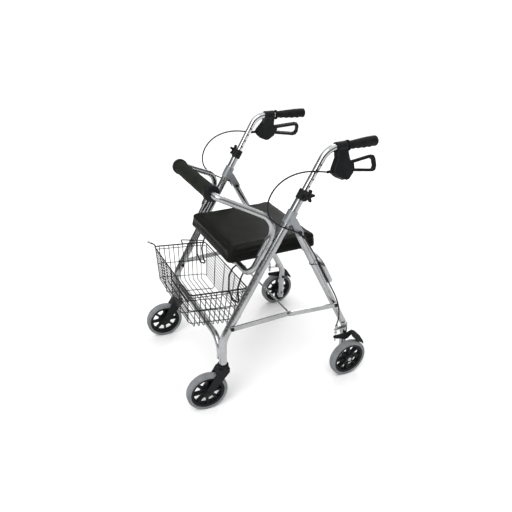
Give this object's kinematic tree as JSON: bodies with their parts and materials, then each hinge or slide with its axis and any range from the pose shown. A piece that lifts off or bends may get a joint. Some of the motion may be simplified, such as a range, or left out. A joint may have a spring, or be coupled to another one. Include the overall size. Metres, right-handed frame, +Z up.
{
  "type": "rollator walker",
  "caption": "Folding wheeled walker with a padded seat, wire basket, backrest, telescoping handles and loop brakes.",
  "frame": {"origin": "on the ground, in the middle of the walker's length and width", "axes": "+Z up, -Y the direction of travel, +X the user's left"},
  "size_m": [0.6, 0.7164, 0.9185],
  "materials": {
    "frame_silver": "satin anodised aluminium tube",
    "cast_silver": "cast aluminium with a fine sandy paint",
    "chrome_tube": "bright plated tube",
    "zinc_steel": "bright zinc plate",
    "black_bolts": "black oxide with a slight gloss",
    "black_plastic": "fine-grained moulded nylon",
    "tyre_grey": "smooth grey non-marking tyre",
    "grip_rubber": "matte moulded rubber",
    "foam_black": "closed-cell foam sleeve",
    "seat_vinyl": "grained black vinyl",
    "seat_board": "dark stained plywood",
    "black_wire": "powder-coated wire",
    "cable_jacket": "smooth cable jacket"
  },
  "bodies": {
    "frame": {"left_upright": "frame_silver", "right_upright": "frame_silver", "front_cross_tube": "frame_silver", "seat_support_tube": "frame_silver", "backrest_sockets": "frame_silver", "backrest_tube": "frame_silver", "backrest_foam": "foam_black", "y_brackets": "cast_silver", "height_collars": "black_plastic", "height_bolts": "black_bolts", "front_frame_bolts": "black_bolts", "wire_basket": "black_wire", "basket_hangers": "black_wire", "left_upper_brake_cable": "cable_jacket", "right_upper_brake_cable": "cable_jacket"},
    "rear_frame": {"left_rear_leg": "frame_silver", "right_rear_leg": "frame_silver", "rear_cross_tube": "frame_silver", "rear_axles": "zinc_steel", "rear_frame_bolts": "black_bolts", "cable_stops": "zinc_steel", "cable_adjusters": "zinc_steel", "left_lower_brake_cable": "cable_jacket", "right_lower_brake_cable": "cable_jacket"},
    "front_braces": {"front_brace_bars": "zinc_steel", "brace_cross_rod": "zinc_steel"},
    "rear_braces": {"rear_brace_bars": "zinc_steel"},
    "seat": {"seat_cushion": "seat_vinyl", "seat_board": "seat_board", "seat_saddles": "black_plastic"},
    "left_caster": {"left_caster_fork": "black_plastic", "left_caster_axle": "black_bolts"},
    "left_handle": {"left_handle_tube": "chrome_tube", "left_hand_grip": "grip_rubber", "left_brake_housing": "black_plastic"},
    "left_knob": {"left_height_knob": "black_plastic"},
    "left_cam": {"left_parking_cam": "black_plastic"},
    "left_lever": {"left_loop_lever": "black_plastic"},
    "left_bush": {"left_brake_bush": "black_plastic"},
    "left_arm": {"left_brake_arm": "black_plastic"},
    "left_snap": {"left_snap_button": "zinc_steel"},
    "front_left_wheel": {"front_left_tyre": "tyre_grey", "front_left_wheel_centre": "black_plastic"},
    "rear_left_wheel": {"rear_left_tyre": "tyre_grey", "rear_left_wheel_centre": "black_plastic"},
    "right_caster": {"right_caster_fork": "black_plastic", "right_caster_axle": "black_bolts"},
    "right_handle": {"right_handle_tube": "chrome_tube", "right_hand_grip": "grip_rubber", "right_brake_housing": "black_plastic"},
    "right_knob": {"right_height_knob": "black_plastic"},
    "right_cam": {"right_parking_cam": "black_plastic"},
    "right_lever": {"right_loop_lever": "black_plastic"},
    "right_bush": {"right_brake_bush": "black_plastic"},
    "right_arm": {"right_brake_arm": "black_plastic"},
    "right_snap": {"right_snap_button": "zinc_steel"},
    "front_right_wheel": {"front_right_tyre": "tyre_grey", "front_right_wheel_centre": "black_plastic"},
    "rear_right_wheel": {"rear_right_tyre": "tyre_grey", "rear_right_wheel_centre": "black_plastic"}
  },
  "joints": [
    {"name": "fold", "type": "hinge", "parent": "frame", "child": "rear_frame", "pos_m": [0, 0.043, 0.637], "axis": [-1, 0, 0], "range_deg": [0, 32]},
    {"name": "front_brace_fold", "type": "hinge", "parent": "frame", "child": "front_braces", "pos_m": [0, -0.196, 0.328], "axis": [1, 0, 0], "range_deg": [0, 36.97]},
    {"name": "rear_brace_fold", "type": "hinge", "parent": "rear_frame", "child": "rear_braces", "pos_m": [0, 0.2164, 0.32], "axis": [-1, 0, 0], "range_deg": [0, 39.94]},
    {"name": "seat_lift", "type": "hinge", "parent": "frame", "child": "seat", "pos_m": [0, -0.12545, 0.508], "axis": [1, 0, 0], "range_deg": [0, 50]},
    {"name": "left_caster_swivel", "type": "hinge", "parent": "frame", "child": "left_caster", "pos_m": [0.243, -0.223, 0.16], "axis": [0, 0, 1], "continuous": true},
    {"name": "front_left_wheel_spin", "type": "hinge", "parent": "left_caster", "child": "front_left_wheel", "pos_m": [0.23986, -0.28292, 0.075], "axis": [0.9986, -0.0523, 0], "continuous": true},
    {"name": "rear_left_wheel_spin", "type": "hinge", "parent": "rear_frame", "child": "rear_left_wheel", "pos_m": [0.283, 0.28319, 0.075], "axis": [1, 0, 0], "continuous": true},
    {"name": "left_handle_height", "type": "slide", "parent": "frame", "child": "left_handle", "axis": [0, 0.4939, 0.8695], "range_m": [-0.1, 0.05], "deforming": ["left_upper_brake_cable"]},
    {"name": "left_knob_turn", "type": "hinge", "parent": "frame", "child": "left_knob", "pos_m": [0.243, 0.05361, 0.76752], "axis": [1, 0, 0], "continuous": true},
    {"name": "left_brake_park", "type": "hinge", "parent": "left_handle", "child": "left_cam", "pos_m": [0.25739, 0.18611, 0.8372], "axis": [0.9463, 0.0995, 0.3075], "range_deg": [-22, 0]},
    {"name": "left_brake_squeeze", "type": "hinge", "parent": "left_cam", "child": "left_lever", "pos_m": [0.25739, 0.18611, 0.8372], "axis": [0.9463, 0.0995, 0.3075], "range_deg": [0, 10], "stiffness_Nm_per_rad": 1},
    {"name": "left_bush_turn", "type": "hinge", "parent": "rear_frame", "child": "left_bush", "pos_m": [0.243, 0.28319, 0.162], "axis": [1, 0, 0], "range_deg": [-3.01, 0]},
    {"name": "left_arm_turn", "type": "hinge", "parent": "left_bush", "child": "left_arm", "pos_m": [0.243, 0.28319, 0.162], "axis": [1, 0, 0], "range_deg": [-3.01, 0]},
    {"name": "left_snap_press", "type": "slide", "parent": "frame", "child": "left_snap", "axis": [-1, 0, 0], "range_m": [0, 0.003], "stiffness_N_per_m": 600},
    {"name": "right_caster_swivel", "type": "hinge", "parent": "frame", "child": "right_caster", "pos_m": [-0.243, -0.223, 0.16], "axis": [0, 0, 1], "continuous": true},
    {"name": "front_right_wheel_spin", "type": "hinge", "parent": "right_caster", "child": "front_right_wheel", "pos_m": [-0.24614, -0.28292, 0.075], "axis": [0.9986, -0.0523, 0], "continuous": true},
    {"name": "rear_right_wheel_spin", "type": "hinge", "parent": "rear_frame", "child": "rear_right_wheel", "pos_m": [-0.283, 0.28319, 0.075], "axis": [1, 0, 0], "continuous": true},
    {"name": "right_handle_height", "type": "slide", "parent": "frame", "child": "right_handle", "axis": [0, 0.4939, 0.8695], "range_m": [-0.1, 0.05], "deforming": ["right_upper_brake_cable"]},
    {"name": "right_knob_turn", "type": "hinge", "parent": "frame", "child": "right_knob", "pos_m": [-0.243, 0.05361, 0.76752], "axis": [1, 0, 0], "continuous": true},
    {"name": "right_brake_park", "type": "hinge", "parent": "right_handle", "child": "right_cam", "pos_m": [-0.25739, 0.18611, 0.8372], "axis": [0.9463, -0.0995, -0.3075], "range_deg": [-22, 0]},
    {"name": "right_brake_squeeze", "type": "hinge", "parent": "right_cam", "child": "right_lever", "pos_m": [-0.25739, 0.18611, 0.8372], "axis": [0.9463, -0.0995, -0.3075], "range_deg": [0, 10], "stiffness_Nm_per_rad": 1},
    {"name": "right_bush_turn", "type": "hinge", "parent": "rear_frame", "child": "right_bush", "pos_m": [-0.243, 0.28319, 0.162], "axis": [1, 0, 0], "range_deg": [-3.01, 0]},
    {"name": "right_arm_turn", "type": "hinge", "parent": "right_bush", "child": "right_arm", "pos_m": [-0.243, 0.28319, 0.162], "axis": [1, 0, 0], "range_deg": [-3.01, 0]},
    {"name": "right_snap_press", "type": "slide", "parent": "frame", "child": "right_snap", "axis": [1, 0, 0], "range_m": [0, 0.003], "stiffness_N_per_m": 600}
  ],
  "couplings": [
    {"joint": "front_brace_fold", "follows": "fold", "ratio": 1.1551},
    {"joint": "rear_brace_fold", "follows": "fold", "ratio": 1.2477},
    {"joint": "left_bush_turn", "follows": "left_brake_park", "ratio": 0.136},
    {"joint": "left_arm_turn", "follows": "left_brake_squeeze", "ratio": -0.3},
    {"joint": "right_bush_turn", "follows": "right_brake_park", "ratio": 0.136},
    {"joint": "right_arm_turn", "follows": "right_brake_squeeze", "ratio": -0.3}
  ]
}
